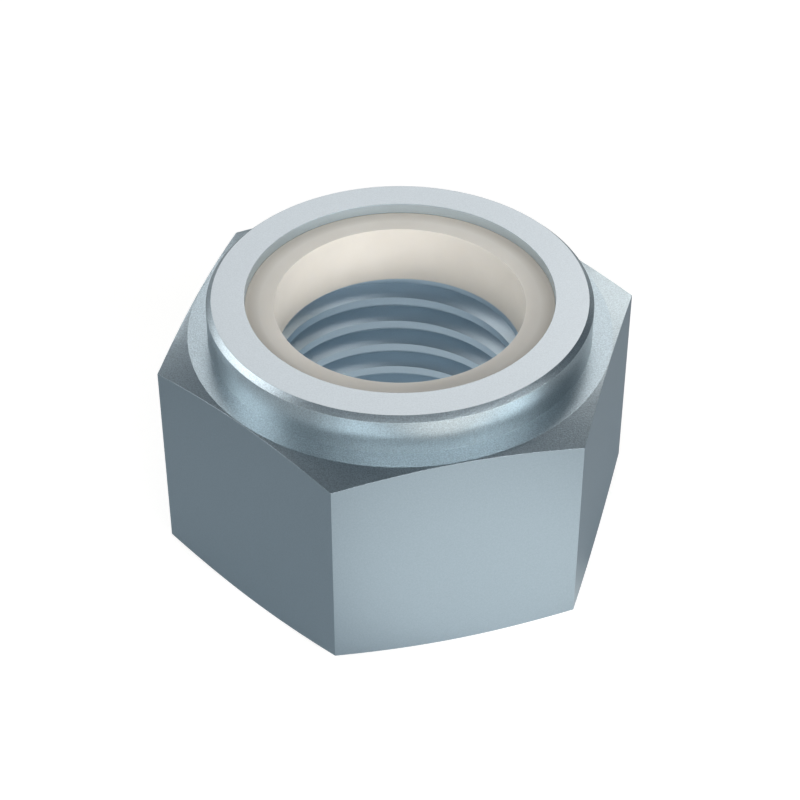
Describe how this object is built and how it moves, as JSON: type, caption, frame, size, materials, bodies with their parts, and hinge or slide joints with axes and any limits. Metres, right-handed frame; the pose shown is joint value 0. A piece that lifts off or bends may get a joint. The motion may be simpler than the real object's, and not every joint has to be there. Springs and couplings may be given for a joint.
{
  "type": "nylon insert lock nut",
  "caption": "Hexagonal steel lock nut with chamfered ends and a turned collar; a rolled-in lip holds a nylon ring that grips the bolt's thread.",
  "frame": {"origin": "centre of the bearing face, on the thread's axis", "axes": "+Z along the thread's axis from the bearing face to the collar; two of the hexagon's corners on the X axis, two of its flats facing along Y"},
  "size_m": [0.0474, 0.041, 0.0265],
  "materials": {
    "zinc_plated_steel": "satin blue-grey zinc plating, fine-grained on the turned chamfers and collar",
    "nylon": "plain warm off-white nylon, smooth and slightly waxy"
  },
  "bodies": {
    "root": {"nut_body": "zinc_plated_steel", "nylon_insert": "nylon"}
  },
  "joints": []
}
